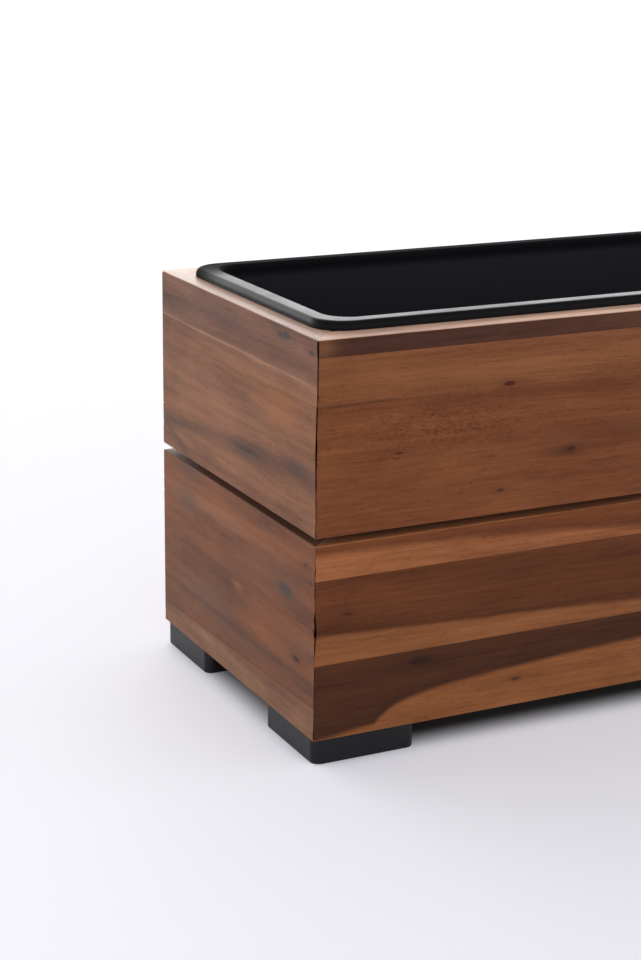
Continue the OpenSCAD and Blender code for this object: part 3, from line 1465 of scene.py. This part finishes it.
@dataclass
class Studio:
    """A pale floor that runs into a white room, with a shadow painted under the box, soft light and
    the camera.
    """

    turn: float = 26.57
    dip: float = 16.41
    tilt: float = -0.72
    lens: float = 76.1
    from_corner: tuple[float, float, float] = (-0.5455, -1.0967, 0.5399)
    floor_size: float = 60.0
    floor_colour: str = "efeff3"
    floor_glow: tuple[float, float, float] = (0.30, 0.305, 0.34)
    fade_near: float = 700.0
    fade_far: float = 3200.0
    # Painted shadow on the floor under the box: how far it reaches, how far inside the footprint it
    # is full, and how dark it is.
    painted_shadow_reach: float = 38.0
    painted_shadow_inside: float = 0.7
    painted_shadow_level: float = 0.08
    wall: float = 1.09
    back_wall: float = 2.5
    back_edge: tuple[float, float] = (0.45, 0.85)
    ceiling: float = 0.45
    ceiling_edge: tuple[float, float] = (0.34, 0.62)

    def build(self, corner: Vector) -> None:
        """Sets up the studio.

        Args:
            corner: The near bottom corner of the timber, which the camera is placed from.
        """
        self._camera(corner)
        self._room()
        self._floor()

    def _camera(self, corner: Vector) -> None:
        """Places the camera.

        Args:
            corner: The near bottom corner of the timber.
        """
        turn, dip, tilt = (math.radians(a) for a in (self.turn, self.dip, self.tilt))
        ahead = Vector((math.sin(turn) * math.cos(dip), math.cos(turn) * math.cos(dip),
                        -math.sin(dip)))
        level = Vector((math.cos(turn), -math.sin(turn), 0.0))
        down = ahead.cross(level)
        right = math.cos(tilt) * level + math.sin(tilt) * down
        below = math.cos(tilt) * down - math.sin(tilt) * level
        data = bpy.data.cameras.new("camera")
        data.lens = self.lens
        camera = bpy.data.objects.new("camera", data)
        pose = Matrix((right, -below, -ahead)).transposed().to_4x4()
        pose.translation = corner + Vector(self.from_corner)
        camera.matrix_world = pose
        bpy.context.scene.collection.objects.link(camera)
        bpy.context.scene.camera = camera

    def _room(self) -> None:
        """Fills the room with even white light."""
        scene = bpy.context.scene
        scene.view_settings.view_transform = "Standard"
        world = bpy.data.worlds.new("white_room")
        world.use_nodes = True
        room = Bench(world.node_tree, "Background")
        _, rear, up = room.coordinates("Generated", 1.0)
        high = up.ramp(*self.ceiling_edge)
        walls = self.wall + self.back_wall * rear.ramp(*self.back_edge)
        room.set("Color", (1.0, 1.0, 1.0, 1.0))
        room.set("Strength", walls * (1.0 - high) + self.ceiling * high)
        scene.world = world

    def _floor(self) -> None:
        """Lays the floor, which grows lighter away from the box until it is as white as the room,
        with a shadow painted under the box.
        """
        # The bounds are read first, because they take in the floor until it is staged.
        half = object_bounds()[1] / MM
        rest_tools()
        bpy.ops.mesh.primitive_plane_add(size=self.floor_size, location=(0.0, 0.0, 0.0))
        floor = bpy.context.object
        floor.name = "floor"
        made = Finish("floor_paint", roughness=0.7, specular_ior_level=0.2, emission_strength=1.0)
        x, y, _ = made.position()
        away = (x * x + y * y).math("SQRT").ramp(self.fade_near, self.fade_far)
        # Painted shadow: the floor's colour and glow are darkened under the box's footprint and just
        # round it.
        inside = self.painted_shadow_reach * self.painted_shadow_inside
        clear = beyond(x, y, half.x - inside, half.y - inside).ramp(0.0, self.painted_shadow_reach)
        glow_with_painted_shadow = made.darken(self.floor_glow, clear)
        base_with_painted_shadow = (1.0 - away) * (self.painted_shadow_level + (1.0 - self.painted_shadow_level) * clear)
        made.set("Base Color", made.darken(linear(self.floor_colour), base_with_painted_shadow))
        made.set("Emission Color", made.blend(glow_with_painted_shadow, (1.0, 1.0, 1.0, 1.0), away))
        floor.data.materials.append(made.material)
        floor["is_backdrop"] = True


# ---------------------------------------------------------------------------------------------
# The box
# ---------------------------------------------------------------------------------------------

# Places are in millimetres: along the board from its low end, and up from the foot of the timber.
FIGURES: dict[tuple[Side, str], Figure] = {
    (Side.FRONT, "lower"): Figure(
        staves=(
            Stave(0.0, "8c5530", "4b2814",
                  HeartLine(0.0, slope=0.115, curve=-0.00015, rise=14.0, start=45.0, run=14.0,
                            soft=2.6)),
            Stave(52.7, "87522f", "62351a", HeartLine(72.5, slope=-0.041, soft=2.2)),
            Stave(110.8, "995d38", "764021", HeartLine(127.5, curve=-0.00018, soft=3.5)),
        ),
        knots=(Knot(79.0, 44.0, 5.5), Knot(154.0, 19.0, 2.2, 0.5), Knot(24.0, 86.0, 2.2, 0.5)),
        top_face_painted_light="9c623c",
        seed=1.0),
    (Side.FRONT, "upper"): Figure(
        staves=(Stave(0.0, "784426"), Stave(225.5, "7f4c2d"), Stave(257.0, "48291d")),
        marks=(
            Mark(140.0, 221.0, 90.0, 3.6, strength=0.5, colour="4a2515"),
            Mark(330.0, 217.0, 130.0, 7.0, strength=0.5, colour="4a2515"),
            Mark(185.0, 177.5, 15.0, 4.0, strength=0.75, colour="2c1a13"),
            Mark(250.0, 188.0, 110.0, 7.0, strength=0.5, colour="4a2515"),
            Mark(300.0, 160.0, 60.0, 4.0, strength=0.3, colour="4a2515"),
            Mark(4.0, 263.0, 9.0, 12.0, strength=0.7, colour="8a5a3c"),
            Mark(420.0, 263.0, 190.0, 9.0, strength=0.6, colour="87543a"),
            Mark(0.0, 225.6, 70.0, 0.8, strength=0.8, colour="2a1711"),
        ),
        knots=(Knot(140.0, 228.0, 2.8, 0.95, "4a1a0e"), Knot(59.0, 190.0, 1.6, 0.6),
               Knot(136.0, 156.0, 1.8, 0.6), Knot(190.0, 178.5, 2.6, 0.7)),
        curls=(Mark(90.0, 205.0, 70.0, 18.0, strength=1.5),
               Mark(300.0, 236.0, 90.0, 16.0, strength=0.5)),
        top_face_painted_light="f2c2a8",
        seed=2.0),
    (Side.LEFT, "lower"): Figure(
        staves=(Stave(0.0, "744d34", "6f3d1b", HeartLine(23.0, slope=-0.0275, soft=0.6)),),
        marks=(
            Mark(110.0, 33.0, 150.0, 9.0, strength=0.6, colour="4a3328"),
            Mark(127.0, 37.5, 200.0, 2.2, strength=0.6, colour="40251a"),
            Mark(210.0, 133.0, 20.0, 7.0, strength=0.7, colour="3d3634"),
            Mark(121.0, 70.0, 8.0, 4.0, strength=0.5, colour="a0683f"),
            Mark(190.0, 60.0, 70.0, 6.0, strength=0.4, colour="4a2c20"),
            Mark(60.0, 100.0, 60.0, 9.0, tilt=-0.05, strength=0.4, colour="49352b"),
            Mark(150.0, 112.0, 80.0, 5.0, strength=0.35, colour="a06f50"),
            Mark(212.0, 108.0, 22.0, 12.0, strength=0.5, colour="4a4436"),
            Mark(175.0, 47.0, 45.0, 9.0, strength=0.5, colour="4c443a"),
            Mark(110.0, 84.0, 50.0, 7.0, tilt=-0.08, strength=0.4, colour="4f3324"),
            Mark(20.0, 60.0, 30.0, 8.0, strength=0.35, colour="5a4a3e"),
        ),
        knots=(Knot(44.0, 92.0, 7.0, 0.85, "3c332e"), Knot(27.0, 49.0, 3.4, 0.95),
               Knot(14.0, 118.0, 2.0, 0.7), Knot(6.0, 108.0, 2.0, 0.7)),
        contrast=2.1,
        top_face_painted_light="5a3018",
        seed=3.0),
    (Side.LEFT, "upper"): Figure(
        staves=(Stave(0.0, "794c30"), Stave(238.0, "6c4430")),
        marks=(
            Mark(220.0, 163.0, 80.0, 6.0, tilt=-0.09, strength=0.75, colour="3a241b"),
            Mark(104.0, 172.0, 40.0, 8.0, tilt=-0.06, strength=1.0, colour="33201a"),
            Mark(28.0, 177.0, 30.0, 8.0, strength=0.95, colour="33201a"),
            Mark(150.0, 192.0, 110.0, 5.0, tilt=-0.05, strength=0.4, colour="9a6a4c"),
            Mark(200.0, 205.0, 60.0, 5.0, strength=0.4, colour="4b342a"),
            Mark(150.0, 258.0, 40.0, 6.0, strength=0.5, colour="4b3a34"),
            Mark(53.0, 215.0, 30.0, 11.0, strength=0.6, colour="a4622f"),
            Mark(226.0, 148.0, 26.0, 3.0, tilt=0.35, strength=0.8, colour="2e2725"),
            Mark(130.0, 238.0, 200.0, 0.9, strength=0.45, colour="b98f78"),
            Mark(130.0, 233.5, 160.0, 2.6, strength=0.4, colour="45302a"),
            Mark(180.0, 252.0, 80.0, 4.0, strength=0.4, colour="45342f"),
        ),
        knots=(Knot(45.0, 263.0, 3.6, 0.85, "332c2a"), Knot(54.0, 262.0, 3.0, 0.8, "332c2a"),
               Knot(8.0, 259.0, 2.6, 0.8, "332c2a")),
        contrast=2.1,
        top_face_painted_light="c39a86",
        seed=4.0),
    (Side.REAR, "lower"): Figure(
        staves=(
            Stave(0.0, "804e2b", "552f1d", HeartLine(31.0, slope=0.02, soft=2.0)),
            Stave(48.0, "744229"),
            Stave(97.0, "8e5833", "673922", HeartLine(118.0, slope=0.03, soft=2.2)),
        ),
        marks=(Mark(210.0, 72.0, 110.0, 5.0, strength=0.4),),
        knots=(Knot(330.0, 64.0, 5.0), Knot(520.0, 20.0, 3.0, 0.6)),
        seed=5.0),
    (Side.REAR, "upper"): Figure(
        staves=(Stave(0.0, "7c482b", "562f22", HeartLine(158.0, slope=0.035, soft=2.4)),
                Stave(196.0, "82502e"), Stave(244.0, "6d3e25")),
        marks=(Mark(480.0, 214.0, 120.0, 5.0, strength=0.4),),
        knots=(Knot(180.0, 222.0, 4.0), Knot(600.0, 170.0, 3.0, 0.6)),
        top_face_painted_light="dcaa8e",
        seed=6.0),
    (Side.RIGHT, "lower"): Figure(
        staves=(Stave(0.0, "75452a"), Stave(61.0, "825230", "653a23",
                                             HeartLine(92.0, slope=-0.05, soft=2.0))),
        marks=(Mark(90.0, 30.0, 90.0, 5.0, strength=0.4),),
        knots=(Knot(150.0, 44.0, 5.0, 0.7),),
        seed=7.0),
    (Side.RIGHT, "upper"): Figure(
        staves=(Stave(0.0, "7d4a2d"), Stave(183.0, "6c3f28"), Stave(236.0, "845332")),
        marks=(Mark(160.0, 205.0, 70.0, 6.0, strength=0.4),),
        knots=(Knot(80.0, 160.0, 4.0, 0.7), Knot(200.0, 250.0, 2.6, 0.5)),
        top_face_painted_light="dcaa8e",
        seed=8.0),
}


class Planter:
    """The whole planter box, from its boards to its screws."""

    screw_nodes: tuple[str, ...] = (
        "block_screws", "batten_screws", "rail_screws", "slat_screws", "foot_screws")
    first_seed: float = 11.0
    seed_step: float = 3.7

    def __init__(self) -> None:
        """Finds the datum that heights on the boards are measured from, and every screw."""
        self.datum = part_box("board_front_lower")[0].z
        self.screws = [Screws(node) for node in self.screw_nodes]
        self.spots = [spot for group in self.screws for spot in group.spots()]

    def build(self) -> None:
        """Builds every piece."""
        for (side, tier), figure in FIGURES.items():
            SideBoard(f"board_{side.name.lower()}_{tier}", side, figure, self.datum).build()
        Liner().build()
        for node in self._nodes("foot_"):
            Foot(node).build(self.spots)
        for place, stick in enumerate(self._sticks()):
            stick.build(self.spots, self.first_seed + self.seed_step * place)
        for group in self.screws:
            group.build()

    def _nodes(self, start: str) -> list[str]:
        """Returns the CAD nodes whose names begin with start, other than screws."""
        return sorted(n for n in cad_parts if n.startswith(start) and "screws" not in n)

    def _sticks(self) -> Iterable[Stick]:
        """Goes through the inner framing.

        Returns:
            The sticks, one after another.
        """
        for node in self._nodes("corner_block_"):
            yield Stick(node, Grain.UPRIGHT, corner=True, access=0.02)
        for node in self._nodes("batten_"):
            yield Stick(node, Grain.UPRIGHT)
        for node in self._nodes("rail_"):
            grain = Grain.LENGTH if node in ("rail_front", "rail_rear") else Grain.WIDTH
            yield Stick(node, grain)
        for node in self._nodes("floor_slat_"):
            yield Stick(node, Grain.WIDTH)


def main() -> None:
    """Builds the planter box and its studio."""
    logging.basicConfig(level=logging.INFO, format="%(message)s")
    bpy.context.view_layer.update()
    rest_tools()
    Studio().build(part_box("board_front_lower")[0])
    Planter().build()
    LOG.info("done")


if __name__ == "__main__":
    main()
